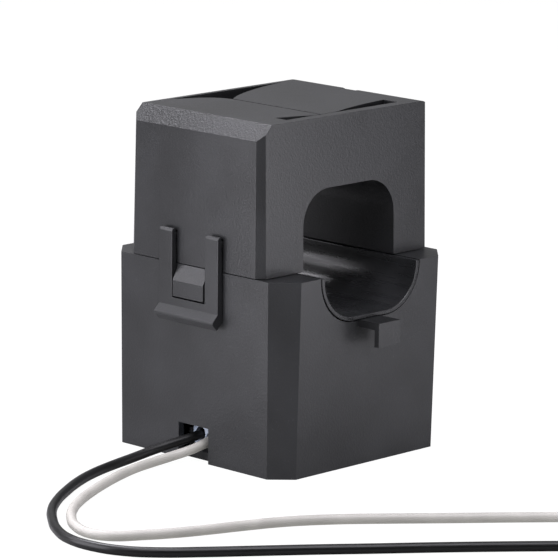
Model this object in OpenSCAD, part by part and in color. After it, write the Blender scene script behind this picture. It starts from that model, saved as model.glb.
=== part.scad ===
// Split-core current transformer that clamps round a conductor.
// The conductor runs along Y through the window. The latch is on the -X side,
// the hinge on the +X side, and the origin is the middle of the underside.

/* [Channel and window] */
// Width of the conductor channel in the base
channel_w = 20.3; // [18:0.1:22]
// Depth of the channel below the parting plane
channel_depth = 7.1; // [6.9:0.1:9]
// Radius of the channel's lower corners
channel_r = 6.8; // [4:0.1:6.8]
// Width of the window in the cap
window_w = 18.6; // [16:0.1:20]
// Height of the window above the parting plane
window_h = 11.5; // [9:0.1:13]
// Radius of the window's upper corners
window_r = 5.1; // [3:0.1:7]
// Shift of the window towards the hinge
window_shift = 1.0; // [0:0.1:1.4]
// Thickness of the channel liner
liner_t = 0.6; // [0.5:0.05:1]
// Gap round the outside of the liner
liner_gap = 0.15; // [0.1:0.05:0.3]

/* [Core and coil] */
// Thickness of the core strip
core_t = 3.6; // [3:0.1:4.4]
// Depth of the core along the conductor
core_d = 22.4; // [18:0.1:26]
// Radius of the core's outer corners
core_r = 3.9; // [2:0.1:4.5]
// Gap round a core half in its pocket
core_clear = 0.15; // [0.1:0.05:0.25]
// Air gap left between the pole faces
pole_gap = 0.05; // [0.02:0.01:0.1]
// Wall of the bobbin's tube
bobbin_t = 0.8; // [0.6:0.05:1]
// Thickness of a bobbin flange
flange_t = 1.0; // [0.8:0.1:1.4]
// Height of the flange above the taped winding
flange_lip = 0.55; // [0.3:0.05:0.8]
// Build of the winding
winding_t = 3.3; // [2.5:0.1:3.8]
// Thickness of the tape over the winding
tape_t = 0.3; // [0.2:0.05:0.5]

/* [Housings] */
// Side wall of the cap beside the core
cap_side = 2.05; // [1.95:0.05:2.6]
// End wall of the cap
cap_end = 1.55; // [1.2:0.05:2.2]
// Top wall of the cap
cap_top = 1.6; // [1.4:0.1:2.2]
// Wall of the cap round the window
arch_t = 1.2; // [0.9:0.1:1.6]
// Width of the step from the base out from the cap
base_step = 0.35; // [0.2:0.05:0.6]
// Wall of the base
base_wall = 1.3; // [1.1:0.1:1.8]
// Deck of the base under the parting plane
deck_t = 1.4; // [1.1:0.1:2]
// Gap between the coil and the base wall
coil_gap = 0.65; // [0.4:0.05:1.2]
// Height of the wiring space under the coil
wiring_h = 5.6; // [5.2:0.1:8]
// Thickness of the bottom cover
cover_t = 1.2; // [1:0.1:1.8]
// Gap round the bottom cover
cover_gap = 0.1; // [0.05:0.05:0.2]
// Draft of the base, taken off each side at the bottom
base_draft = 0.4; // [0.2:0.05:0.5]
// Chamfer of the base's upright corners
base_corner = 3.3; // [2:0.1:4]
// Chamfer of the cap's upright corners
cap_corner = 0.9; // [0.5:0.1:1.4]
// Gap between cap and base
parting_gap = 0.1; // [0.06:0.01:0.2]

/* [Cap edges and top] */
// Width of the bevel along the latch-side top edge
bevel_w = 2.1; // [1:0.1:2.4]
// Height of the bevel along the latch-side top edge
bevel_h = 2.2; // [1:0.1:2.6]
// Radius of the hinge-side top edge
shoulder_r = 1.7; // [0.8:0.1:2]
// Radius of the cap's lower hinge-side edge
heel_r = 0.9; // [0.5:0.1:1.2]
// Latch-side end of the opening round the spring leaves
leaf_x0 = -10.3; // [-12:0.1:-9]
// Hinge-side end of the opening round the spring leaves
leaf_x1 = 12.6; // [11:0.1:13]
// Position of the slit between the two leaves
slit_x = -2.9; // [-4:0.1:-1]
// Width of the slit between the two leaves
slit_w = 0.2; // [0.15:0.05:0.4]
// Distance of the leaves' back notch from the window's middle
notch_y = 6.5; // [5:0.1:8]
// Length of the notch in the hinge-side top edge
edge_notch = 3.2; // [2:0.1:5]

/* [Core spring] */
// Thickness of the foam pad on the upper core
pad_t = 1.0; // [0.6:0.1:1.4]
// Room for the arched strip spring
spring_h = 2.65; // [2:0.05:3.4]
// Thickness of the spring strip
spring_t = 0.3; // [0.2:0.05:0.4]
// Width of the spring strip
spring_w = 8; // [6:0.5:10]
// Length of the spring strip
spring_l = 20; // [16:0.5:22]

/* [Latch] */
// Width of the latch clip
latch_w = 11.9; // [11.5:0.1:13]
// Width of a clip leg
leg_w = 2.65; // [2.5:0.05:3]
// Thickness of the clip
clip_t = 1.1; // [0.9:0.05:1.4]
// Gap between the clip and the base
clip_gap = 0.1; // [0.08:0.01:0.2]
// Height of the leg tops above the parting plane
leg_top = 5.15; // [4.8:0.05:6]
// Height of the clip's pivot above the parting plane
pivot_up = 4.1; // [3.8:0.05:4.3]
// Depth of the clip's pivot behind the cap's face
pivot_in = 0.95; // [0.9:0.05:1.1]
// Radius of the clip's trunnions
trunnion_r = 0.65; // [0.55:0.05:0.7]
// Lower edge of the clip's opening, below the parting plane
clip_open = 4.75; // [4.2:0.05:5.2]
// Start of the finger lip, below the parting plane
lip_down = 5.9; // [5.6:0.05:6.6]
// Reach of the finger lip out from the clip
lip_out = 1.0; // [0.6:0.05:1.4]
// Gap round the catch in the clip's opening
catch_gap = 0.25; // [0.15:0.01:0.3]
// Height of the catch's ramp
ramp_h = 2.2; // [1.8:0.1:2.6]
// Distance of the catch's peak behind the clip's face
catch_in = 0.15; // [0.05:0.05:0.3]

/* [Hinge] */
// Radius of the hinge knuckles
knuckle_r = 1.4; // [1.2:0.05:1.8]
// Radius of the hinge pin
pin_r = 0.7; // [0.5:0.05:0.75]
// Running clearance round pins and trunnions
run_clear = 0.05; // [0.03:0.01:0.08]
// Length of the hinge
hinge_l = 16; // [12:0.5:24]
// Number of knuckles
knuckles = 5; // [3:2:7]
// Gap between the knuckles
knuckle_gap = 0.2; // [0.1:0.05:0.3]

/* [Hook lugs] */
// Width of a hook lug
lug_w = 4.4; // [3.5:0.1:5.5]
// Reach of a hook lug out from the base
lug_out = 4.2; // [3:0.1:5]
// Thickness of the lug's arm
lug_arm = 1.05; // [0.8:0.05:1.4]
// Thickness of the lug's lip
lug_lip = 0.95; // [0.8:0.05:1.4]
// Height of the lug's lip
lug_h = 3.5; // [2.5:0.1:4.5]

/* [Leads and board] */
// Diameter of a lead
lead_d = 1.4; // [1.2:0.1:1.6]
// Width of the lead notch
notch_w = 6.0; // [5.4:0.1:7]
// Height of the lead notch above the cover
notch_h = 4.0; // [3.8:0.1:5]
// Length of the terminal board
board_l = 13.9; // [11:0.1:16]
// Width of the terminal board
board_w = 14; // [10:0.5:15]
// Thickness of the terminal board
board_t = 0.8; // [0.6:0.1:1]
// Height of the terminal board above the cover
board_up = 1.4; // [1:0.1:1.6]
// Diameter of the bared conductor strands
strand_d = 0.9; // [0.6:0.1:1.1]
// Length of the bared conductor strands
strand_l = 4; // [3:0.5:5]
// Mean radius of a stored coil of lead
coil_r = 8; // [7:0.5:9]
// Layers of turns in a stored coil
coil_rows = 3; // [2:1:5]

/* [Hidden] */
$fn = 48;
e = 1; // overshoot of cuts past a face

black_plastic = [0.13, 0.13, 0.135];
grey_plastic = [0.18, 0.18, 0.19];
steel = [0.62, 0.63, 0.65];
core_grey = [0.32, 0.33, 0.36];
nylon = [0.82, 0.86, 0.92];
copper = [0.72, 0.42, 0.2];
tape_yellow = [0.86, 0.72, 0.22];
board_green = [0.1, 0.38, 0.22];

// core, from the channel outwards
web = 0.8;
leg_in = max(channel_w / 2, window_shift + window_w / 2) + web;
leg_out = leg_in + core_t;
pocket_in = leg_in - core_clear;
pocket_out = leg_out + core_clear;
pocket_y = core_d / 2 + core_clear;

// housings, from the core outwards
cap_w = 2 * (pocket_out + cap_side);
cap_d = 2 * (pocket_y + cap_end);
base_w = cap_w + 2 * base_step;
tape_in = bobbin_t + winding_t;
tape_out = tape_in + tape_t;
flange_grow = tape_out + flange_lip;
bobbin_half = leg_in - 0.5;
flange_y = pocket_y + flange_grow;
base_d = 2 * (flange_y + coil_gap + base_wall);

// heights, from the underside up
flange_z = cover_t + wiring_h;
yoke_z = flange_z + flange_grow + core_clear;
flange_top = yoke_z + core_t + core_clear + flange_grow;
coil_head = 0.6;
parting_z = flange_top + coil_head + channel_depth;
cap_z = parting_z + parting_gap;
window_top = parting_z + window_h;
upper_yoke_z = window_top + arch_t + core_clear;
upper_core_top = upper_yoke_z + core_t;
cavity_top = upper_core_top + pad_t + spring_h;
total_h = cavity_top + cap_top;

// middle of the notch in the cap's top edge
notch_mid = 1.4;

// cavity of the base
cavity_w = base_w - 2 * base_wall;
cavity_d = base_d - 2 * base_wall;
cavity_corner = base_corner - base_wall / 2;

// latch
latch_face = -base_w / 2 - clip_gap;
clip_face = latch_face - clip_t;
clip_open_w = latch_w - 2 * leg_w;
pivot_x = -cap_w / 2 + pivot_in;
pivot_z = parting_z + pivot_up;
neck_t = trunnion_r + 0.05;
trunnion_w = leg_w - 0.5;
pivot_clear = 0.1;

// hinge
hinge_x = base_w / 2 + knuckle_r + 0.15;
hinge_z = parting_z;
knuckle_l = (hinge_l - (knuckles - 1) * knuckle_gap) / knuckles;

// terminal board
board_x = -base_w / 2 + 7.35;
board_top = cover_t + board_up + board_t;
diode = [4.3, 2.6, 2.1];
diode_x = board_x + board_l / 2;
tail_x = board_x + board_l - 2;
tail_y = board_w / 2 - 2;
tail_d = 0.5;

// leads: the tie that holds them, and their routes, chosen by hand
tie_x = -14.1;
tie_l = 1.4;
tie_hole_r = lead_d / 2 + 0.25;
tie_black = [0.95, 3.5];
tie_white = [-1.12, 2.98];
black_route = [
    [-9, 1.6, 4.2], [-11.5, 1.3, 3.9], [-14, 0.95, 3.5], [-16.5, 0.9, 3.2],
    [-19, 1.7, 2.7], [-22, 2.8, 2], [-25.5, 3.5, 1.3], [-30, 3.6, 0.8],
    [-34.5, 2.5, 0.7], [-39, 0.6, 0.7], [-43.5, -1.9, 0.7], [-47.8, -4.7, 0.7],
    [-51.8, -8, 0.7], [-55.2, -11.8, 0.7], [-58.2, -16, 0.7], [-60.1, -20.5, 0.7],
    [-60.3, -25, 0.7], [-58.9, -29.6, 0.7], [-56, -33.4, 0.7], [-52, -36.9, 0.7],
    [-46, -41.7, 0.7], [-40, -46.5, 0.7], [-34, -51.5, 0.7], [-28, -56.4, 0.7],
    [-22, -61.5, 0.7], [-16, -66.8, 0.7], [-11.8, -70.6, 0.7]
];
white_route = [
    [-9, -1.6, 4.2], [-11.5, -1.4, 3.7], [-14, -1.1, 3], [-16.3, -1, 2.4],
    [-18.3, -0.5, 1.7], [-20.8, 0.4, 1], [-24, 0.7, 0.7], [-28, 0, 0.7],
    [-32.5, -1.3, 0.7], [-37, -2.9, 0.7], [-41.5, -4.8, 0.7], [-45.5, -6.9, 0.7],
    [-49.3, -9.5, 0.7], [-52.7, -12.8, 0.7], [-55.3, -16.6, 0.7],
    [-56.2, -20.4, 0.7], [-54.9, -23.4, 0.7], [-51.8, -25.6, 0.7],
    [-47.5, -28, 0.7], [-43, -29.9, 0.7], [-38.5, -31.6, 0.7], [-33, -34, 0.7],
    [-27.5, -37.6, 0.7], [-22, -42.2, 0.7], [-16, -47.5, 0.7], [-10, -52.7, 0.7],
    [-4, -58, 0.7], [2, -63.2, 0.7]
];
// a coil: middle of the ring, +1 anticlockwise or -1 clockwise, angle of its end
black_coil = [-13.9, -80.4, -1, 160];
white_coil = [11.7, -60, 1, 20];
coil_w = 2 * lead_d;
coil_h = coil_rows * lead_d;
coil_curl = 3.2;

// ---------- profiles and helpers ----------

// Square with its four corners cut off
module cornered(w, d, c) {
    x = w / 2;
    y = d / 2;
    polygon([
        [x - c, -y], [x, -y + c], [x, y - c], [x - c, y],
        [-x + c, y], [-x, y - c], [-x, -y + c], [-x + c, -y]
    ]);
}

// Rectangle with round corners, centred
module rounded(w, h, r) {
    square([w - 2 * r, h], center = true);
    square([w, h - 2 * r], center = true);
    for (x = [-1, 1], y = [-1, 1])
        translate([x * (w / 2 - r), y * (h / 2 - r)]) circle(r);
}

// Extrudes an XZ profile along Y, centred
module along_y(d) {
    rotate([90, 0, 0]) translate([0, 0, -d / 2]) linear_extrude(d) children();
}

// Extrudes a YZ profile along X, centred
module along_x(w) {
    rotate([90, 0, 90]) translate([0, 0, -w / 2]) linear_extrude(w) children();
}

// Box between two corners
module box(a, b) {
    translate(a) cube(b - a);
}

// Round bar along Y between two places
module bar_y(x, z, r, y0, y1) {
    translate([x, y1, z]) rotate([90, 0, 0]) cylinder(r = r, h = y1 - y0);
}

// Points of an arc of radius r round c, from angle a0 to a1
function arc(c, r, a0, a1, n = 6) =
    [for (i = [0 : n]) let (a = a0 + (a1 - a0) * i / n) c + r * [cos(a), sin(a)]];

// Points of a curve from a to c that leans towards b
function curve(a, b, c, n = 10) =
    [for (i = [0 : n]) let (t = i / n) (1 - t) * (1 - t) * a + 2 * t * (1 - t) * b + t * t * c];

// U of the channel: open at the top, grown outwards by grow
module channel_profile(grow = 0) {
    half = channel_w / 2 + grow;
    r = channel_r + grow;
    low = -channel_depth - grow;
    translate([0, parting_z]) {
        translate([-half, low + r]) square([2 * half, channel_depth + e + grow - r + 0.01]);
        translate([-half + r, low]) square([2 * (half - r), channel_depth + e + grow]);
        for (s = [-1, 1]) translate([s * (half - r), low + r]) circle(r, $fn = 96);
    }
}

// Arch of the window: open at the bottom, grown outwards by grow
module window_profile(grow = 0) {
    half = window_w / 2 + grow;
    r = window_r + grow;
    high = window_h + grow;
    translate([window_shift, parting_z]) {
        translate([-half, -e]) square([2 * half, high - r + e]);
        translate([-half + r, -e]) square([2 * (half - r), high + e]);
        for (s = [-1, 1]) translate([s * (half - r), high - r]) circle(r, $fn = 96);
    }
}

// ---------- base ----------

// Outside of the base: chamfered corners and a slight draft
module base_block() {
    x = base_w / 2;
    y = base_d / 2;
    intersection() {
        linear_extrude(parting_z) cornered(base_w, base_d, base_corner);
        along_y(base_d + e) polygon([[-x + base_draft, 0], [x - base_draft, 0], [x, parting_z], [-x, parting_z]]);
        along_x(base_w + e) polygon([[-y + base_draft, 0], [y - base_draft, 0], [y, parting_z], [-y, parting_z]]);
    }
}

// Openings in the deck where the poles of the core come through
module pole_openings() {
    for (s = [-1, 1])
        translate([s * (pocket_in + pocket_out) / 2, 0, parting_z - deck_t - e])
            linear_extrude(deck_t + 2 * e)
                square([pocket_out - pocket_in, 2 * pocket_y], center = true);
}

// Ramped catch under the latch clip
module catch_wedge() {
    face = -base_w / 2 + base_draft;
    peak = clip_face + catch_in;
    low = parting_z - clip_open + catch_gap;
    along_y(clip_open_w - 2 * catch_gap)
        polygon([
            [face, parting_z], [-base_w / 2, parting_z],
            [peak, parting_z - ramp_h], [peak, low], [face, low]
        ]);
}

// L-shaped lug under the channel, for tying the conductor down
module hook_lug() {
    root = -base_d / 2 + base_draft;
    tip = -base_d / 2 - lug_out;
    top = parting_z - channel_depth + 0.1;
    box([-lug_w / 2, tip, top - lug_arm], [lug_w / 2, root, top]);
    box([-lug_w / 2, tip, top - lug_h], [lug_w / 2, tip + lug_lip, top]);
}

// Knuckles of one hinge leaf; first is 0 or 1, up is 1 for the cap's leaf
module knuckle_row(first, up, face) {
    for (i = [first : 2 : knuckles - 1]) {
        y0 = -hinge_l / 2 + i * (knuckle_l + knuckle_gap);
        difference() {
            union() {
                bar_y(hinge_x, hinge_z, knuckle_r, y0, y0 + knuckle_l);
                translate([face, y0, up > 0 ? hinge_z + 0.15 : hinge_z - knuckle_r])
                    cube([hinge_x - face, knuckle_l, knuckle_r - 0.15]);
            }
            bar_y(hinge_x, hinge_z, pin_r + run_clear, y0 - e, y0 + knuckle_l + e);
        }
    }
}

module base_shell() {
    color(black_plastic) {
        difference() {
            base_block();
            translate([0, 0, -e]) linear_extrude(parting_z - deck_t + e)
                cornered(cavity_w, cavity_d, cavity_corner);
            along_y(base_d + 2 * e) channel_profile();
            pole_openings();
            box([-base_w / 2 - e, -notch_w / 2, -e], [-cavity_w / 2 + e, notch_w / 2, cover_t + notch_h]);
        }
        catch_wedge();
        hook_lug();
        mirror([0, 1, 0]) hook_lug();
        knuckle_row(0, -1, base_w / 2 - base_draft);
    }
}

module channel_liner() {
    color(grey_plastic) difference() {
        along_y(base_d - 2 * base_draft - 0.1) intersection() {
            channel_profile(-liner_gap);
            translate([-base_w / 2, 0]) square([base_w, parting_z - 0.05]);
        }
        along_y(base_d + e) channel_profile(-liner_gap - liner_t);
    }
}

// Posts on the cover: seats for the bobbin's flanges
module bobbin_seats() {
    seat = [1.2, 4];
    for (x = [-1, 1], y = [-1, 1])
        translate([x * (bobbin_half - flange_t / 2) - seat[0] / 2, y * 11 - seat[1] / 2, cover_t - 0.01])
            cube([seat[0], seat[1], wiring_h - 0.09]);
}

// Block on the cover with two cheeks that hold the lead tie
module tie_cradle() {
    half = notch_w / 2 + 0.4;
    cheek = 0.8;
    x0 = tie_x - tie_l / 2;
    box([x0, -half, cover_t - 0.01], [x0 + tie_l, half, cover_t + 0.6]);
    for (s = [0, 1]) mirror([0, s, 0])
        box([x0, half - cheek, cover_t], [x0 + tie_l, half, cover_t + 2.8]);
}

module bottom_cover() {
    color(black_plastic) {
        linear_extrude(cover_t)
            cornered(cavity_w - 2 * cover_gap, cavity_d - 2 * cover_gap, cavity_corner);
        translate([0, 0, cover_t - 0.01]) linear_extrude(1.5) difference() {
            cornered(cavity_w - 1, cavity_d - 1, cavity_corner);
            cornered(cavity_w - 3, cavity_d - 3, cavity_corner);
            translate([-cavity_w / 2, 0]) square([4, notch_w + 1.6], center = true);
        }
        bobbin_seats();
        for (y = [-1, 1])
            translate([board_x + board_l / 2 - 4, y * (board_w / 2 - 2) - 0.5, cover_t - 0.01])
                cube([8, 1, board_up + 0.01]);
        tie_cradle();
    }
}

// ---------- core and coil ----------

// U of one core half in XZ, open upwards, its yoke's underside at z = 0
module core_profile(leg_h) {
    difference() {
        union() {
            translate([0, leg_h]) intersection() {
                rounded(2 * leg_out, 2 * leg_h, core_r);
                translate([-leg_out, -leg_h]) square([2 * leg_out, leg_h]);
            }
        }
        translate([-leg_in, core_t]) square([2 * leg_in, leg_h]);
    }
}

module lower_core() {
    color(core_grey) along_y(core_d)
        translate([0, yoke_z]) core_profile(parting_z - yoke_z);
}

module upper_core() {
    color(core_grey) along_y(core_d)
        translate([0, upper_core_top]) mirror([0, 1])
            core_profile(upper_core_top - parting_z - pole_gap);
}

// Rectangular ring round the yoke, from grow0 to grow1 outside its hole
module yoke_ring(grow0, grow1, r) {
    w = 2 * pocket_y;
    h = core_t + 2 * core_clear;
    translate([0, yoke_z + core_t / 2]) difference() {
        rounded(w + 2 * grow1, h + 2 * grow1, r);
        square([w + 2 * grow0, h + 2 * grow0], center = true);
    }
}

module bobbin() {
    color(grey_plastic) {
        along_x(2 * bobbin_half) yoke_ring(0, bobbin_t, 0.3);
        for (s = [-1, 1]) translate([s * (bobbin_half - flange_t / 2), 0, 0])
            along_x(flange_t) yoke_ring(0, flange_grow, 1.5);
    }
}

module winding() {
    color(copper) along_x(2 * (bobbin_half - flange_t))
        yoke_ring(bobbin_t, bobbin_t + winding_t, 1.6);
}

module winding_tape() {
    color(tape_yellow) along_x(2 * (bobbin_half - flange_t) - 0.4)
        translate([0, yoke_z + core_t / 2]) difference() {
            rounded(2 * pocket_y + 2 * tape_out, core_t + 2 * core_clear + 2 * tape_out, 1.6 + tape_t);
            rounded(2 * pocket_y + 2 * tape_in, core_t + 2 * core_clear + 2 * tape_in, 1.6);
        }
}

// Two enamelled wires from the winding down to the board
module winding_tails() {
    color(copper) for (y = [-1, 1])
        translate([tail_x, y * tail_y, board_top])
            cylinder(d = tail_d, h = yoke_z - core_clear - tape_out - board_top);
}

module terminal_board() {
    color(board_green)
        translate([board_x, -board_w / 2, board_top - board_t]) cube([board_l, board_w, board_t]);
}

// Moulded surface-mount diode between its two bent terminals
module protection_diode() {
    color([0.1, 0.1, 0.11]) translate([diode_x, 0, board_top])
        along_y(diode[1]) polygon([
            [-diode[0] / 2 + 0.3, 0.15], [diode[0] / 2 - 0.3, 0.15], [diode[0] / 2, diode[2] / 2],
            [diode[0] / 2 - 0.3, diode[2]], [-diode[0] / 2 + 0.3, diode[2]], [-diode[0] / 2, diode[2] / 2]
        ]);
    color(steel) translate([diode_x, 0, board_top]) for (s = [0, 1]) mirror([s, 0, 0]) {
        box([diode[0] / 2 - 0.8, -0.7, 0], [diode[0] / 2 + 0.4, 0.7, 0.2]);
        box([diode[0] / 2 - 0.2, -0.7, 0], [diode[0] / 2 + 0.4, 0.7, 1.2]);
    }
}

// Moulded tie that grips both leads inside the notch
module lead_tie() {
    w = 4.8;
    z0 = cover_t + 0.65;
    z1 = z0 + 2.85;
    color(nylon) difference() {
        translate([tie_x, 0, 0]) union() {
            along_x(tie_l) translate([0, (z0 + z1) / 2]) rounded(w, z1 - z0, 0.7);
            along_x(tie_l - 0.3) translate([-0.2, z1]) rounded(2, 1, 0.3);
        }
        for (hole = [tie_black, tie_white])
            translate([tie_x - tie_l, hole[0], hole[1]]) rotate([0, 90, 0])
                cylinder(r = tie_hole_r, h = 2 * tie_l);
    }
}

// ---------- cap ----------

// Outline of the cap in XZ: bevelled top edges and a rounded heel at the hinge
module cap_outline() {
    x = cap_w / 2;
    polygon(concat(
        [[-x, cap_z], [-x, total_h - bevel_h], [-x + bevel_w, total_h]],
        arc([x - shoulder_r, total_h - shoulder_r], shoulder_r, 90, 0),
        arc([x - heel_r, cap_z + heel_r], heel_r, 0, -90)
    ));
}

// Room for the upper core, its pad and its spring
module cap_cavity() {
    for (s = [-1, 1])
        box([s * (pocket_in + pocket_out) / 2 - (pocket_out - pocket_in) / 2, -pocket_y, cap_z - e],
            [s * (pocket_in + pocket_out) / 2 + (pocket_out - pocket_in) / 2, pocket_y, cavity_top]);
    box([-pocket_out, -pocket_y, window_top + arch_t], [pocket_out, pocket_y, cavity_top]);
}

// Opening in the top wall, less the two spring leaves
module leaf_gaps() {
    front = -pocket_y + 0.05;
    back = cap_d / 2 - 0.8;
    tip = front + 0.15;
    slit0 = slit_x - slit_w / 2;
    slit1 = slit_x + slit_w / 2;
    difference() {
        translate([leaf_x0, front]) square([leaf_x1 - leaf_x0, back - front]);
        polygon(concat(
            [[slit0, tip]],
            curve([slit_x - 1.3, tip], [(slit_x + leaf_x0) / 2 - 0.6, tip + 1.5], [leaf_x0 - e, tip + 2.4]),
            curve([leaf_x0 - e, back + 0.2], [slit_x - 0.8, back - 1.3], [slit0, notch_y])
        ));
        polygon(concat(
            [[slit1, tip]],
            curve([slit_x + 3.2, tip], [(slit_x + leaf_x1) / 2 + 1.3, tip + 2], [leaf_x1 + e, tip + 2.7]),
            curve([leaf_x1 + e, back + 0.1], [slit_x + 6.1, back - 1.5], [slit1, notch_y])
        ));
    }
}

// Sockets for the clip's trunnions, with a slot for each neck
module trunnion_sockets() {
    for (s = [0, 1]) mirror([0, s, 0]) {
        y0 = clip_open_w / 2 + 0.25 - pivot_clear;
        y1 = y0 + trunnion_w + 2 * pivot_clear;
        bar_y(pivot_x, pivot_z, trunnion_r + run_clear, y0, y1);
        box([-cap_w / 2 - e, y0, pivot_z - neck_t / 2 - 0.08], [pivot_x, y1, pivot_z + neck_t / 2 + 0.28]);
    }
}

module cap_shell() {
    color(black_plastic) {
        difference() {
            intersection() {
                translate([0, 0, cap_z]) linear_extrude(total_h - cap_z)
                    cornered(cap_w, cap_d, cap_corner);
                along_y(cap_d + e) cap_outline();
            }
            along_y(cap_d + 2 * e) window_profile();
            cap_cavity();
            translate([0, 0, cavity_top - e]) linear_extrude(cap_top + 2 * e) leaf_gaps();
            trunnion_sockets();
            box([cap_w / 2 - shoulder_r - 0.3, notch_mid - edge_notch / 2, total_h - 0.45],
                [cap_w / 2, notch_mid + edge_notch / 2, total_h + e]);
        }
        knuckle_row(1, 1, cap_w / 2 - 0.3);
    }
}

module core_pad() {
    color([0.12, 0.12, 0.12])
        translate([-spring_l / 2 - 0.5, -core_d / 2 + 0.5, upper_core_top])
            cube([spring_l + 1, core_d - 1, pad_t]);
}

// Arched strip that presses the upper core down
module core_spring() {
    rise = spring_h - 0.1;
    half = spring_l / 2;
    r = (half * half + rise * rise) / (2 * rise);
    z0 = upper_core_top + pad_t;
    color(steel) along_y(spring_w) translate([0, z0 + rise - r]) difference() {
        circle(r, $fn = 240);
        circle(r - spring_t, $fn = 240);
        translate([-2 * r, -2 * r]) square([4 * r, 2 * r + r - rise + 0.02]);
    }
}

// ---------- latch and hinge ----------

// Side view of the clip: upright legs and a finger lip turned out at the foot
module clip_profile() {
    lip_z = parting_z - lip_down;
    top = parting_z + leg_top;
    polygon([
        [latch_face, top], [clip_face + 0.4, top], [clip_face, top - 0.4],
        [clip_face, lip_z], [clip_face - lip_out, lip_z - lip_out],
        [clip_face - lip_out, lip_z - lip_out - 0.3],
        [clip_face - 0.1, lip_z - lip_out - 1.3], [latch_face, lip_z - 1.2]
    ]);
}

module latch_clip() {
    color(black_plastic) {
        difference() {
            along_y(latch_w) clip_profile();
            box([clip_face - e, -clip_open_w / 2, parting_z - clip_open],
                [latch_face + e, clip_open_w / 2, parting_z + leg_top + e]);
        }
        for (s = [0, 1]) mirror([0, s, 0]) {
            y0 = clip_open_w / 2 + 0.25;
            bar_y(pivot_x, pivot_z, trunnion_r, y0, y0 + trunnion_w);
            box([latch_face - 0.2, y0, pivot_z - neck_t / 2], [pivot_x, y0 + trunnion_w, pivot_z + neck_t / 2]);
        }
    }
}

module hinge_pin() {
    color(steel) bar_y(hinge_x, hinge_z, pin_r, -hinge_l / 2, hinge_l / 2);
}

// ---------- leads ----------

function unit(v) = v / norm(v);

// Rings of n points round each point of a route
function rings(route, r, n) = [
    for (i = [0 : len(route) - 1])
        let (t = unit(route[min(i + 1, len(route) - 1)] - route[max(i - 1, 0)]),
             side = unit(cross([0, 0, 1], t)),
             up = cross(t, side))
            for (k = [0 : n - 1]) let (a = 360 * (k + 0.5) / n)
                route[i] + r * (cos(a) * side + sin(a) * up)
];

// Tube of radius r swept along a route
module tube(route, r, n = 8) {
    last = n * (len(route) - 1);
    polyhedron(
        rings(route, r, n),
        concat(
            [[for (k = [0 : n - 1]) n - 1 - k]],
            [[for (k = [0 : n - 1]) last + k]],
            [for (i = [0 : len(route) - 2], k = [0 : n - 1])
                let (a = n * i + k, b = n * i + (k + 1) % n) [a, b, b + n]],
            [for (i = [0 : len(route) - 2], k = [0 : n - 1])
                let (a = n * i + k, b = n * i + (k + 1) % n) [a, b + n, a + n]]
        )
    );
}

// Outer shape of a stored coil, with the inner end curled to its middle
module stored_coil(c) {
    translate([c[0], c[1], 0]) mirror([0, c[2] > 0 ? 0 : 1, 0]) rotate([0, 0, c[3]]) {
        rotate_extrude($fn = 96) translate([coil_r - coil_w / 2, 0]) square([coil_w, coil_h]);
        translate([coil_r - lead_d / 2 - coil_curl, 0, lead_d / 2 + 0.05])
            rotate_extrude(angle = 90) translate([coil_curl + 0.1, 0]) circle(lead_d / 2, $fn = 24);
    }
}

// Bared end of a lead, beyond the curl of its coil
module strands(c) {
    translate([c[0], c[1], 0]) mirror([0, c[2] > 0 ? 0 : 1, 0]) rotate([0, 0, c[3]])
        translate([coil_r - lead_d / 2 - coil_curl, coil_curl + 0.1, lead_d / 2 + 0.05])
            rotate([0, -90, 0]) cylinder(d = strand_d, h = strand_l);
}

module lead_black() { color([0.06, 0.06, 0.06]) tube(black_route, lead_d / 2); }
module lead_white() { color([0.92, 0.91, 0.89]) tube(white_route, lead_d / 2); }
module coil_black() { color([0.06, 0.06, 0.06]) stored_coil(black_coil); }
module coil_white() { color([0.92, 0.91, 0.89]) stored_coil(white_coil); }
module strands_black() { color(steel) strands(black_coil); }
module strands_white() { color(steel) strands(white_coil); }

base_shell();
bottom_cover();
channel_liner();
lower_core();
bobbin();
winding();
winding_tape();
winding_tails();
terminal_board();
protection_diode();
lead_tie();
cap_shell();
upper_core();
core_pad();
core_spring();
latch_clip();
hinge_pin();
lead_black();
lead_white();
coil_black();
coil_white();
strands_black();
strands_white();
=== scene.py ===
"""Split-core current transformer: finishes, leads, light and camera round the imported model."""

import math

import bpy
from mathutils import Matrix, Vector


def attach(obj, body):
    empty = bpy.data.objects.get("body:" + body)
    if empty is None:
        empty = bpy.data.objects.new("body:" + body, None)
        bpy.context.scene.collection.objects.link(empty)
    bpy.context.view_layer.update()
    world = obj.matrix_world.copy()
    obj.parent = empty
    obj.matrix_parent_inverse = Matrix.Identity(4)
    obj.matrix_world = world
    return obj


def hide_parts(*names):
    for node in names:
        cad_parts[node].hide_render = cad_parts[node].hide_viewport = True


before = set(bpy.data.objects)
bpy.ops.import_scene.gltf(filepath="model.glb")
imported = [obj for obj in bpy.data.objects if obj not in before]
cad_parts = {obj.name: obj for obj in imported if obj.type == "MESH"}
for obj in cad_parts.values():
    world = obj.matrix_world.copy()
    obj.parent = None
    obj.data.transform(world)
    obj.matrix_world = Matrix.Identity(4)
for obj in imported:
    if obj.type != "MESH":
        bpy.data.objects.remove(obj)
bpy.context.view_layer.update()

MM = 0.001


# ---------- small helpers ----------

SMOOTH_ANGLE = 32              # degrees; edges sharper than this stay sharp in the shading


def select_none():
    """Leaves nothing selected, so that an operator acts on new things alone."""
    if bpy.context.object and bpy.context.object.mode != "OBJECT":
        bpy.ops.object.mode_set(mode="OBJECT")
    bpy.ops.object.select_all(action="DESELECT")


def make_active(piece):
    """Selects one piece and makes it the active one."""
    select_none()
    piece.select_set(True)
    bpy.context.view_layer.objects.active = piece


def apply_modifiers(piece):
    """Turns every modifier of a piece into mesh."""
    make_active(piece)
    for modifier in list(piece.modifiers):
        bpy.ops.object.modifier_apply(modifier=modifier.name)


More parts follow.
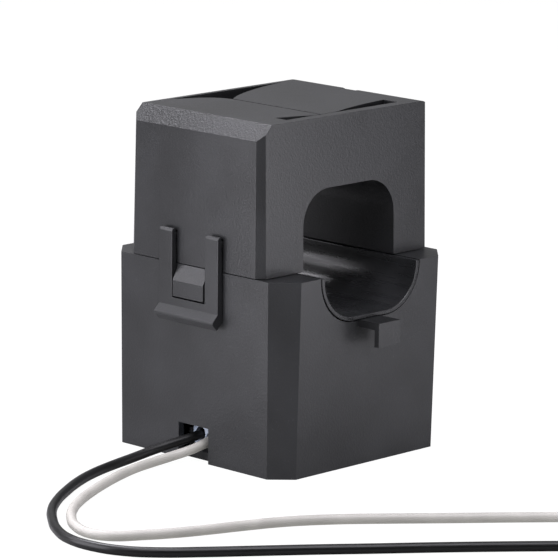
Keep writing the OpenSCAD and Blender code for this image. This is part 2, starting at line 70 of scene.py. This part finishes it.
def smooth(piece):
    """Shades a piece smooth, apart from its sharp edges."""
    make_active(piece)
    bpy.ops.object.shade_smooth_by_angle(angle=math.radians(SMOOTH_ANGLE))


def finish_with(piece, material):
    """Gives a piece one material."""
    piece.data.materials.clear()
    piece.data.materials.append(material)


# ---------- shader expressions ----------

BAND_RATE = 3.15               # about how many bands a Wave texture has in a unit at scale 1


class Value:
    """A node's output. Arithmetic on it adds Math nodes."""

    def __init__(self, nodes, node, out):
        self.nodes = nodes
        self.node = node
        self.out = out

    def maths(self, operation, *terms):
        """A Math node on numbers and values."""
        settings = {"operation": operation}
        return self.nodes.node("ShaderNodeMath", settings, dict(enumerate(terms)))

    def __add__(self, other):
        return self.maths("ADD", self, other)

    def __radd__(self, other):
        return self.maths("ADD", other, self)

    def __mul__(self, other):
        return self.maths("MULTIPLY", self, other)

    def __rmul__(self, other):
        return self.maths("MULTIPLY", other, self)

    def ramp(self, low, high, out_low=0.0, out_high=1.0):
        """Runs smoothly from out_low to out_high as the value goes from low to high."""
        settings = {"interpolation_type": "SMOOTHSTEP"}
        inputs = {
            "Value": self,
            "From Min": low,
            "From Max": high,
            "To Min": out_low,
            "To Max": out_high,
        }
        return self.nodes.node("ShaderNodeMapRange", settings, inputs)


class Nodes:
    """The nodes of one material or world."""

    def __init__(self, owner):
        owner.use_nodes = True
        self.tree = owner.node_tree
        self.tree.nodes.clear()

    def join(self, value, socket):
        """Links a Value to a socket, or sets a number or colour on it."""
        if isinstance(value, Value):
            self.tree.links.new(value.node.outputs[value.out], socket)
        else:
            socket.default_value = value

    def node(self, kind, settings=None, inputs=None, out=0):
        """Adds a node, with its settings first and its inputs after them."""
        node = self.tree.nodes.new(kind)
        for name, setting in (settings or {}).items():
            setattr(node, name, setting)
        for name, value in (inputs or {}).items():
            self.join(value, node.inputs[name])
        return Value(self, node, out)


class Paint(Nodes):
    """A new material with one Principled shader."""

    def __init__(self, name):
        self.material = bpy.data.materials.new(name)
        super().__init__(self.material)
        self.shader = self.node("ShaderNodeBsdfPrincipled")
        self.output = self.node("ShaderNodeOutputMaterial")
        self.show(self.shader)

    def show(self, surface):
        """Makes a shader the material's surface."""
        self.join(surface, self.output.node.inputs["Surface"])

    def place(self):
        """Coordinates on the piece, in metres."""
        return self.node("ShaderNodeTexCoord", out="Object")

    def stretched(self, scale, turn=(0, 0, 0)):
        """Coordinates scaled by a vector and turned, in degrees."""
        inputs = {
            "Vector": self.place(),
            "Scale": scale,
            "Rotation": [math.radians(a) for a in turn],
        }
        return self.node("ShaderNodeMapping", None, inputs)

    def noise(self, feature, detail=2.0, rough=0.5, where=None):
        """Noise from 0 to 1 whose features are so many millimetres across."""
        inputs = {
            "Vector": where or self.place(),
            "Scale": 1 / (feature * MM),
            "Detail": detail,
            "Roughness": rough,
        }
        return self.node("ShaderNodeTexNoise", None, inputs)

    def cells(self, feature):
        """Distance to the nearest of scattered points, so many millimetres apart."""
        inputs = {"Vector": self.place(), "Scale": 1 / (feature * MM)}
        return self.node("ShaderNodeTexVoronoi", None, inputs)

    def bands(self, width, direction, distortion=0.0):
        """Waves from 0 to 1 along X or Y, so many millimetres apart."""
        settings = {"wave_type": "BANDS", "bands_direction": direction, "wave_profile": "SIN"}
        inputs = {
            "Vector": self.place(),
            "Scale": 1 / (BAND_RATE * width * MM),
            "Distortion": distortion,
        }
        return self.node("ShaderNodeTexWave", settings, inputs)

    def blend(self, mask, first, second):
        """Colour that goes from the first to the second as mask goes from 0 to 1."""
        inputs = {0: mask, 6: first, 7: second}    # the node's factor and its two colours
        return self.node("ShaderNodeMix", {"data_type": "RGBA"}, inputs, out=2)

    def bumps(self, height, depth, strength=1.0):
        """Normals from a height of 0 to 1, so many millimetres deep."""
        inputs = {"Height": height, "Distance": depth * MM, "Strength": strength}
        return self.node("ShaderNodeBump", None, inputs)

    def finish(self, **sockets):
        """Sets the shader's sockets: base_color is Base Color, and so on."""
        for name, value in sockets.items():
            title = name.replace("_", " ").title().replace("Ior", "IOR")
            self.join(value, self.shader.node.inputs[title])
        return self.material


# ---------- finishes ----------

SHELL_BLACK = 0.015            # how light the shells' plastic is, from 0 to 1
RUST_BROWN = (0.16, 0.09, 0.05, 1)
# copper of the winding: darker between the turns as painted shade, lighter on their crests as
# painted highlight
COPPER_PAINTED_SHADE, COPPER_PAINTED_HIGHLIGHT = (0.2, 0.055, 0.018, 1), (0.62, 0.24, 0.08, 1)
TAPE_DEEP, TAPE_PALE = (0.75, 0.5, 0.07, 1), (0.86, 0.62, 0.12, 1)
BOARD_DEEP, BOARD_PALE = (0.012, 0.11, 0.04, 1), (0.02, 0.16, 0.06, 1)
NYLON_DEEP, NYLON_PALE = (0.3, 0.35, 0.44, 1), (0.42, 0.47, 0.56, 1)


def grey(level, tint=0.0):
    """A grey, bluer where tint is above 0 and warmer where it is below."""
    return (level, level * (1 + tint * 0.3), level * (1 + tint), 1)


def moulded_black(name, rough=0.36, grain=1.0):
    """Spark-eroded black moulding: fine even grain, faint cloudy sheen, a few pale specks."""
    paint = Paint(name)
    cloud = paint.noise(9, detail=3)
    fine = paint.noise(0.3, detail=3, rough=0.65)
    pits = paint.cells(0.34)
    specks = paint.noise(0.42, rough=0.7).ramp(0.66, 0.76)
    deep = grey(SHELL_BLACK * 0.85, 0.1)
    pale = grey(SHELL_BLACK * 1.15, 0.12)
    speck = grey(SHELL_BLACK * 4, 0.12)
    return paint.finish(
        base_color=paint.blend(specks * 0.35, paint.blend(cloud.ramp(0.3, 0.7), deep, pale), speck),
        roughness=cloud.ramp(0.25, 0.75, rough - 0.03, rough + 0.03) + fine * 0.06,
        normal=paint.bumps(fine * 0.8 + pits * 0.5, 0.028 * grain),
    )


def polished_black(name):
    """Liner moulding: smoother than the shells, with faint flow lines along the channel."""
    paint = Paint(name)
    flow = paint.noise(1.0, detail=3, rough=0.6, where=paint.stretched((1, 0.06, 1)))
    cloud = paint.noise(6)
    return paint.finish(
        base_color=paint.blend(cloud.ramp(0.3, 0.7), grey(0.012, 0.1), grey(0.02, 0.1)),
        roughness=flow.ramp(0.3, 0.7, 0.22, 0.36),
        specular_ior_level=0.45,
        normal=paint.bumps(flow, 0.01, 0.5),
    )


def lead_sleeve(name, level, tint, rough, shine):
    """Soft extruded sleeve with the faint ripple of the strands under it."""
    paint = Paint(name)
    cloud = paint.noise(4, detail=3)
    fine = paint.noise(0.25, rough=0.6)
    ripple = paint.noise(1.6, detail=1)
    deep = grey(level * 0.93, tint)
    pale = grey(level * 1.05, tint)
    return paint.finish(
        base_color=paint.blend(cloud.ramp(0.3, 0.7), deep, pale),
        roughness=cloud.ramp(0.2, 0.8, rough - 0.05, rough + 0.06),
        specular_ior_level=shine,
        normal=paint.bumps(ripple * 0.8 + fine * 0.25, 0.03, 0.5),
    )


def core_strip(name):
    """Edges of wound core strip: fine parallel layers under clear varnish."""
    paint = Paint(name)
    layers = paint.noise(0.25, detail=3, rough=0.6, where=paint.stretched((1, 0.02, 1)))
    rust = paint.noise(3, detail=4, rough=0.6).ramp(0.58, 0.75)
    steel = paint.blend(layers.ramp(0.3, 0.7), grey(0.12, 0.1), grey(0.3, 0.1))
    return paint.finish(
        base_color=paint.blend(rust * 0.5, steel, RUST_BROWN),
        metallic=0.85,
        roughness=layers.ramp(0.3, 0.7, 0.32, 0.5),
        normal=paint.bumps(layers, 0.02, 0.5),
    )


def drawn_steel(name, level=0.6):
    """Bright steel with fine lines along Y."""
    paint = Paint(name)
    lines = paint.noise(0.15, detail=3, rough=0.6, where=paint.stretched((1, 0.04, 1)))
    return paint.finish(
        base_color=paint.blend(lines.ramp(0.3, 0.7), grey(level * 0.85), grey(level * 1.05, 0.02)),
        metallic=1.0,
        roughness=lines.ramp(0.3, 0.7, 0.2, 0.38),
        normal=paint.bumps(lines, 0.006, 0.5),
    )


def wound_copper(name):
    """Turns of enamelled wire side by side along X; painted shade between turns, painted highlight
    on their crests.
    """
    paint = Paint(name)
    turns = paint.bands(0.44, "X", distortion=0.4)
    return paint.finish(
        # painted shade in the grooves between turns and painted highlight on their crests, from the
        # same bands as the bump
        base_color=paint.blend(turns, COPPER_PAINTED_SHADE, COPPER_PAINTED_HIGHLIGHT),
        metallic=0.8,
        roughness=turns.ramp(0, 1, 0.4, 0.24),
        normal=paint.bumps(turns, 0.08, 0.8),
    )


def film_tape(name):
    """Glossy yellow film with faint wrap lines."""
    paint = Paint(name)
    wrap = paint.noise(2.5, where=paint.stretched((1, 0.1, 0.1)))
    return paint.finish(
        base_color=paint.blend(wrap.ramp(0.3, 0.7), TAPE_DEEP, TAPE_PALE),
        roughness=wrap.ramp(0.3, 0.7, 0.2, 0.34),
        normal=paint.bumps(wrap, 0.05, 0.5),
    )


def glass_epoxy(name):
    """Green board with the weave of its glass cloth showing faintly."""
    paint = Paint(name)
    cloth = paint.bands(1.0, "X") * paint.bands(1.0, "Y")
    return paint.finish(
        base_color=paint.blend(cloth, BOARD_DEEP, BOARD_PALE),
        roughness=cloth.ramp(0, 1, 0.28, 0.4),
        normal=paint.bumps(cloth, 0.01, 0.5),
    )


def closed_foam(name):
    """Black foam with small closed cells, painted darker in their hollows as shade."""
    paint = Paint(name)
    cells = paint.cells(0.35)
    return paint.finish(
        # painted shade: darkest in the hollows of the cells, where the bump is lowest
        base_color=paint.blend(cells.ramp(0.1, 0.6), grey(0.012), grey(0.05)),
        roughness=cells.ramp(0, 0.6, 0.95, 0.8),
        normal=paint.bumps(cells, 0.15, 0.8),
    )


def white_nylon(name):
    """Natural nylon: faintly cloudy and a little blue."""
    paint = Paint(name)
    cloud = paint.noise(1.2, detail=3)
    fine = paint.noise(0.2)
    return paint.finish(
        base_color=paint.blend(cloud.ramp(0.3, 0.7), NYLON_DEEP, NYLON_PALE),
        roughness=cloud.ramp(0.3, 0.7, 0.35, 0.5),
        normal=paint.bumps(fine, 0.01, 0.5),
    )


def tinned_strands(name):
    """Twisted tinned strands, painted darker in the grooves between them as shade."""
    paint = Paint(name)
    twist = paint.noise(0.3, where=paint.stretched((1, 1, 0.3), turn=(0, 30, 30)))
    return paint.finish(
        # painted shade: darker in the grooves between the strands, where the bump is low
        base_color=paint.blend(twist.ramp(0.35, 0.65), grey(0.42), grey(0.72, 0.02)),
        metallic=1.0,
        roughness=twist.ramp(0.3, 0.7, 0.25, 0.42),
        normal=paint.bumps(twist, 0.08, 0.8),
    )


# ---------- camera ----------

TURN = math.radians(45.65)     # how far the camera stands round from the window face
HEIGHT = math.radians(11.92)   # how far it looks down
TILT = math.radians(0.64)
DISTANCE = 605 * MM
FOCAL = 270.3                  # millimetres
SENSOR = 36                    # millimetres
NEAR, FAR = 0.05, 20           # metres
AIM = Vector((0, 0, 25 * MM))
AIM_RIGHT = -0.08 * MM         # small shifts of the aim across the view and down it
AIM_DOWN = 0.93 * MM


def place_camera():
    """Long lens, a little above the latch-side corner of the window face."""
    back = Vector((
        -math.sin(TURN) * math.cos(HEIGHT),
        -math.cos(TURN) * math.cos(HEIGHT),
        math.sin(HEIGHT),
    ))
    level = Vector((math.cos(TURN), -math.sin(TURN), 0))
    rise = back.cross(level)
    right = level * math.cos(TILT) + rise * math.sin(TILT)
    up = rise * math.cos(TILT) - level * math.sin(TILT)
    spot = AIM + right * AIM_RIGHT - up * AIM_DOWN + back * DISTANCE
    select_none()
    bpy.ops.object.camera_add()
    camera = bpy.context.object
    camera.data.lens = FOCAL
    camera.data.sensor_width = SENSOR
    camera.data.clip_start = NEAR
    camera.data.clip_end = FAR
    turned = Matrix((right, up, back)).transposed().to_4x4()
    camera.matrix_world = Matrix.Translation(spot) @ turned
    bpy.context.scene.camera = camera


# ---------- leads ----------

# Sizes and routes of the leads are in millimetres. A route runs from the terminal board to
# the coil, and a coil's angles are in degrees.
LEAD_D = 1.4
COIL_R = 8                     # out to the middle between the coil's two layers
COIL_ROWS = 3                  # turns on each other in a layer
TURN_POINTS = 18               # points on each turn
STEP_START = 2 / 3             # part of a turn after which the lead goes to its next place
STEP_LENGTH = 1 / 6            # part of a turn that it takes to get there
CURL_R = 3.3                   # radius of the quarter turn inwards at the far end
CURL_POINTS = 6
CURL_OUT = 0.1                 # how far outside the inner layer the curl starts
CURL_RISE = 0.05               # how far it rises to its end
LEAD_STEPS = 4                 # steps of the curve between two points
LEAD_ROUND = 5                 # steps in a quarter of the sleeve's round
BLACK_ROUTE = [
    (-9, 1.6, 4.2), (-11.5, 1.3, 3.9), (-14, 0.95, 3.5), (-16.5, 0.9, 3.2),
    (-19, 1.7, 2.7), (-22, 2.8, 2), (-25.5, 3.5, 1.3), (-30, 3.6, 0.8),
    (-34.5, 2.5, 0.7), (-39, 0.6, 0.7), (-43.5, -1.9, 0.7), (-47.8, -4.7, 0.7),
    (-51.8, -8, 0.7), (-55.2, -11.8, 0.7), (-58.2, -16, 0.7), (-60.1, -20.5, 0.7),
    (-60.3, -25, 0.7), (-58.9, -29.6, 0.7), (-56, -33.4, 0.7), (-52, -36.9, 0.7),
    (-46, -41.7, 0.7), (-40, -46.5, 0.7), (-34, -51.5, 0.7), (-28, -56.4, 0.7),
    (-22, -61.5, 0.7), (-16, -66.8, 0.7), (-11.8, -70.6, 0.7),
]
BLACK_COIL = {"middle": (-13.9, -80.4), "hand": -1, "start": 47.2, "end": -160}
WHITE_ROUTE = [
    (-9, -1.6, 4.2), (-11.5, -1.4, 3.7), (-14, -1.1, 3), (-16.3, -1, 2.4),
    (-18.3, -0.4, 1.8), (-20.8, 0.7, 1.15), (-24, 1.2, 0.75), (-28, 0.6, 0.7),
    (-32.5, -0.8, 0.7), (-37, -2.6, 0.7), (-41.5, -4.7, 0.7), (-45.5, -6.9, 0.7),
    (-49.3, -9.5, 0.7), (-52.7, -12.8, 0.7), (-55.3, -16.6, 0.7),
    (-56.2, -20.4, 0.7), (-54.9, -23.4, 0.7), (-51.8, -25.6, 0.7),
    (-47.5, -28, 0.7), (-43, -29.9, 0.7), (-38.5, -31.6, 0.7), (-33, -34, 0.7),
    (-27.5, -37.6, 0.7), (-22, -42.2, 0.7), (-16, -47.5, 0.7), (-10, -52.7, 0.7),
    (-4, -58, 0.7), (2, -63.2, 0.7),
]
WHITE_COIL = {"middle": (11.7, -60), "hand": 1, "start": 229.3, "end": 20}


def ease(t):
    """Goes smoothly from 0 to 1 as t does, and stays there outside."""
    t = min(max(t, 0), 1)
    return t * t * (3 - 2 * t)


def coil_points(middle, hand, start, end):
    """Centreline of a coil: up the outer layer, across, down the inner one, then a curl.

    The hand is 1 for a coil that goes anticlockwise and -1 for one that goes clockwise.
    """
    outer = COIL_R + LEAD_D / 2
    inner = COIL_R - LEAD_D / 2
    floor = LEAD_D / 2
    rows = [floor + LEAD_D * row for row in range(COIL_ROWS)]
    places = [(outer, z) for z in rows] + [(inner, z) for z in reversed(rows)]
    sweep = (hand * (end - start)) % 360
    turns = len(places) - 1 + sweep / 360
    steps = round(turns * TURN_POINTS)
    top = COIL_ROWS - 1
    points = []
    for i in range(steps + 1):
        done = turns * i / steps
        turn = min(int(done), len(places) - 1)
        # in each turn the inner layer steps down first, then the top turn goes in, and the
        # outer layer steps up last, so that the lead doesn't pass through itself
        step_start = STEP_START + STEP_LENGTH * ((turn < top) - (turn > top))
        part = ease((done - turn - step_start) / STEP_LENGTH)
        here = Vector(places[turn])
        there = Vector(places[min(turn + 1, len(places) - 1)])
        radius, z = here.lerp(there, part)
        angle = math.radians(start + hand * 360 * done)
        x = middle[0] + radius * math.cos(angle)
        y = middle[1] + radius * math.sin(angle)
        points.append((x, y, z))
    away = math.radians(end)
    outwards = Vector((math.cos(away), math.sin(away)))
    hub = Vector(middle) + outwards * (inner + CURL_OUT - CURL_R)
    for i in range(1, CURL_POINTS + 1):
        part = i / CURL_POINTS
        angle = away + hand * math.pi / 2 * part
        x = hub.x + CURL_R * math.cos(angle)
        y = hub.y + CURL_R * math.sin(angle)
        points.append((x, y, floor + CURL_RISE * part))
    return points


def make_lead(colour, points, finish):
    """One flying lead as a curve, from the terminal board to the end of its coil."""
    name = colour + "_flying_lead"
    curve = bpy.data.curves.new(name, "CURVE")
    curve.dimensions = "3D"
    curve.resolution_u = LEAD_STEPS
    curve.bevel_depth = LEAD_D / 2 * MM
    curve.bevel_resolution = LEAD_ROUND
    curve.use_fill_caps = True
    spline = curve.splines.new("BEZIER")
    spline.bezier_points.add(len(points) - 1)
    for knot, point in zip(spline.bezier_points, points):
        knot.co = Vector(point) * MM
        knot.handle_left_type = "AUTO"
        knot.handle_right_type = "AUTO"
    lead = bpy.data.objects.new(name, curve)
    bpy.context.scene.collection.objects.link(lead)
    finish_with(lead, finish)
    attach(lead, "base")
    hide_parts("lead_" + colour, "coil_" + colour)


# ---------- shells ----------

# Draft and trim of the moulded shells, in millimetres: how far each place along X or Y
# moves at the bottom of the shell and at its top. Between places the move runs evenly.
CAP_X = [
    (-16.9, -0.43, -0.32), (-14, -0.3, -0.3), (-10.3, -0.2, -0.2), (-8.3, -0.6, -0.6),
    (-3.6, -0.6, -0.6), (-3, -0.67, -0.67), (-2.8, -0.53, -0.53), (-2.2, -0.6, -0.6),
    (10.3, -0.6, -0.6), (12.6, -0.3, -0.3), (14, 0.3, 0.3), (16.9, 0.33, 0.25), (17.9, 0, 0),
]
CAP_Y = [(-12.9, -0.48, -0.07), (-11.4, 0, 0), (11.4, 0, 0), (12.9, 0.48, 0.07)]
CAP_Z = (28.4, 50)
BASE_X = [
    (-18.3, -0.25, -0.25), (-16.8, -0.35, -0.15), (-14.2, 0.07, -0.15), (-10.5, 0, 0),
    (10.5, 0, 0), (14.2, -0.67, 0.15), (16.8, -0.25, 0.15), (18.2, 0, 0),
]
BASE_Y = [
    (-22.45, 0.6, 0.6), (-17.8, 0.22, 0.12), (-15.2, 0.62, 0.12), (-11, 0, 0),
    (11, 0, 0), (15.2, -0.62, -0.12), (17.8, -0.22, -0.12), (22.45, -0.6, -0.6),
]
BASE_Z = (0, 28.3)
LATCH_X = [(-18.5, 0, 0), (-17.35, -0.15, -0.45), (-16.6, -0.2, -0.2)]
LATCH_Z = (32.2, 33.45)
TROUGH_Y = [(-17.8, -0.33, -0.33), (-15, 0, 0), (15, 0, 0), (17.8, 0.33, 0.33)]
STILL = [(0, 0, 0)]

WELD = 0.002 * MM              # points nearer than this become one
FLAT_ANGLE = 0.6               # degrees; faces that meet flatter than this become one
ROUNDED_ANGLE = 28             # degrees; edges sharper than this are rounded
ROUNDED_STEPS = 2
FACE_WEIGHT = 100              # large faces set the shading of the roundings beside them


def move_at(place, height, stops):
    """Move of one place, where height runs from 0 at the bottom to 1 at the top."""
    moves = [(at, low + (high - low) * height) for at, low, high in stops]
    if place <= moves[0][0]:
        return moves[0][1]
    for (at0, move0), (at1, move1) in zip(moves, moves[1:]):
        if place <= at1:
            return move0 + (move1 - move0) * (place - at0) / (at1 - at0)
    return moves[-1][1]


def trim(mesh, x_stops, y_stops, heights):
    """Moves a shell's points by its tables of draft and trim."""
    bottom, top = heights
    for vertex in mesh.vertices:
        height = (vertex.co.z / MM - bottom) / (top - bottom)
        height = min(max(height, 0), 1)
        vertex.co.x += MM * move_at(vertex.co.x / MM, height, x_stops)
        vertex.co.y += MM * move_at(vertex.co.y / MM, height, y_stops)


def softened(node, name, body, finish, edge, trims):
    """A moulded shell with its draft and trim, and its sharp edges rounded in millimetres."""
    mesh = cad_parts[node].data.copy()
    trim(mesh, *trims)
    shell = bpy.data.objects.new(name, mesh)
    bpy.context.scene.collection.objects.link(shell)
    make_active(shell)
    bpy.ops.object.mode_set(mode="EDIT")
    bpy.ops.mesh.select_all(action="SELECT")
    bpy.ops.mesh.remove_doubles(threshold=WELD)
    bpy.ops.mesh.dissolve_limited(angle_limit=math.radians(FLAT_ANGLE), delimit=set())
    bpy.ops.object.mode_set(mode="OBJECT")
    smooth(shell)
    round_off = shell.modifiers.new("rounded edges", "BEVEL")
    round_off.width = edge * MM
    round_off.segments = ROUNDED_STEPS
    round_off.limit_method = "ANGLE"
    round_off.angle_limit = math.radians(ROUNDED_ANGLE)
    round_off.use_clamp_overlap = True
    round_off.miter_outer = "MITER_ARC"
    round_off.harden_normals = True
    even = shell.modifiers.new("even shading", "WEIGHTED_NORMAL")
    even.mode = "FACE_AREA"
    even.weight = FACE_WEIGHT
    even.keep_sharp = True
    apply_modifiers(shell)
    finish_with(shell, finish)
    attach(shell, body)
    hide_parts(node)


# ---------- light and floor ----------

WHITE = (1, 1, 1, 1)
FLOOR_SIZE = 6                 # metres
FLOOR_GREY = (0.28, 0.28, 0.28, 1)
FLOOR_GLOW = 1.15              # strength of the floor's white
GLOW_SEEN = 0.85               # share of that white for the eye, also through clear things
GLOW_BOUNCED = 0.8             # share of it in the light that matt surfaces get
WORLD_TURN = -0.2              # cosine of the direction where the world starts to brighten
WORLD_DIM, WORLD_BRIGHT = 0.1, 0.36
LAMP_COLOUR = (1, 0.985, 1.05)
# name, place and target in metres, side in metres, watts
LAMPS = [
    ("top softbox", (0.03, 0.2, 0.36), (0, 0, 0.04), 0.2, 1.6),
    ("overhead fill", (-0.1, -0.1, 0.4), (0, 0, 0.03), 0.3, 1.9),
    ("latch-side softbox", (-0.1, 0.012, 0.03), (-0.017, 0.012, 0.03), 0.065, 0.08),
    ("window-side softbox", (0.034, -0.1, 0.028), (0.034, -0.015, 0.028), 0.08, 0.072),
    ("high latch-side softbox", (-0.09, 0.085, 0.085), (-0.018, 0, 0.025), 0.05, 0.042),
]


def area_light(name, spot, target, size, watts):
    """A soft square lamp at a spot, turned to a target."""
    select_none()
    bpy.ops.object.light_add(type="AREA", location=spot)
    lamp = bpy.context.object
    lamp.name = name
    lamp.data.size = size
    lamp.data.energy = watts
    lamp.data.color = LAMP_COLOUR
    lamp.rotation_euler = (Vector(target) - Vector(spot)).to_track_quat("-Z", "Y").to_euler()


def white_floor():
    """A wide pale floor that shows white to the eye and keeps the shadows."""
    select_none()
    bpy.ops.mesh.primitive_plane_add(size=FLOOR_SIZE, location=(0, 0, 0))
    floor = bpy.context.object
    floor.name = "studio_floor"
    paint = Paint("pale floor")
    paint.finish(base_color=FLOOR_GREY, roughness=0.9)
    seen = paint.node("ShaderNodeLightPath", out="Is Camera Ray")
    through = paint.node("ShaderNodeLightPath", out="Is Transmission Ray")
    bounced = paint.node("ShaderNodeLightPath", out="Is Diffuse Ray")
    glow = paint.node("ShaderNodeEmission", None, {"Color": WHITE, "Strength": FLOOR_GLOW})
    share = (seen + through) * GLOW_SEEN + bounced * GLOW_BOUNCED
    paint.show(paint.node("ShaderNodeMixShader", None, {0: share, 1: paint.shader, 2: glow}))
    finish_with(floor, paint.material)


def white_world():
    """Pale light from all round, brightest from behind the object, and white where it is seen."""
    world = bpy.data.worlds.new("studio")
    bpy.context.scene.world = world
    sky = Nodes(world)
    towards = sky.node("ShaderNodeTexCoord", out="Generated")
    behind = (math.sin(TURN), math.cos(TURN), 0)
    facing = sky.node(
        "ShaderNodeVectorMath", {"operation": "DOT_PRODUCT"}, {0: towards, 1: behind}, out="Value"
    )
    fade = sky.node("ShaderNodeMapRange", None, {
        "Value": facing,
        "From Min": WORLD_TURN,
        "To Min": WORLD_DIM,
        "To Max": WORLD_BRIGHT,
    })
    dim = sky.node("ShaderNodeBackground", None, {"Strength": fade})
    white = sky.node("ShaderNodeBackground", None, {"Strength": 1.0})
    seen = sky.node("ShaderNodeLightPath", out="Is Camera Ray")
    mix = sky.node("ShaderNodeMixShader", None, {0: seen, 1: dim, 2: white})
    sky.node("ShaderNodeOutputWorld", None, {"Surface": mix})


# ---------- the scene ----------

place_camera()

black_sleeve = lead_sleeve("black lead sleeve", 0.007, 0.05, rough=0.34, shine=0.25)
white_sleeve = lead_sleeve("white lead sleeve", 0.36, -0.1, rough=0.45, shine=0.4)
black_points = BLACK_ROUTE + coil_points(**BLACK_COIL)
white_points = WHITE_ROUTE + coil_points(**WHITE_COIL)
make_lead("black", black_points, black_sleeve)
make_lead("white", white_points, white_sleeve)

shell_black = moulded_black("moulded black shell")
clip_black = moulded_black("moulded black clip", rough=0.37, grain=0.7)
cover_black = moulded_black("moulded black cover", rough=0.4)
liner_black = polished_black("smooth black liner")

base_trims = (BASE_X, BASE_Y, BASE_Z)
cap_trims = (CAP_X, CAP_Y, CAP_Z)
latch_trims = (LATCH_X, STILL, LATCH_Z)
trough_trims = (STILL, TROUGH_Y, BASE_Z)
softened("base_shell", "base_housing", "base", shell_black, 0.16, base_trims)
softened("cap_shell", "cap_housing", "cap", shell_black, 0.16, cap_trims)
softened("latch_clip", "latch", "latch", clip_black, 0.14, latch_trims)
softened(
    "channel_liner", "channel_trough", "base", liner_black, 0.12, trough_trims
)

core_steel = core_strip("core strip")
copper = wound_copper("enamelled winding")
strand_tin = tinned_strands("tinned strands")
cad_finishes = {
    "bottom_cover": cover_black,
    "bobbin": cover_black,
    "lower_core": core_steel,
    "upper_core": core_steel,
    "winding": copper,
    "winding_tails": copper,
    "winding_tape": film_tape("winding tape"),
    "terminal_board": glass_epoxy("terminal board"),
    "protection_diode": clip_black,
    "lead_tie": white_nylon("nylon tie"),
    "core_pad": closed_foam("foam pad"),
    "core_spring": drawn_steel("spring steel", 0.5),
    "hinge_pin": drawn_steel("pin steel"),
    "strands_black": strand_tin,
    "strands_white": strand_tin,
}
for node, finish in cad_finishes.items():
    finish_with(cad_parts[node], finish)

white_floor()
white_world()
for lamp in LAMPS:
    area_light(*lamp)

bpy.context.scene.view_settings.view_transform = "Standard"
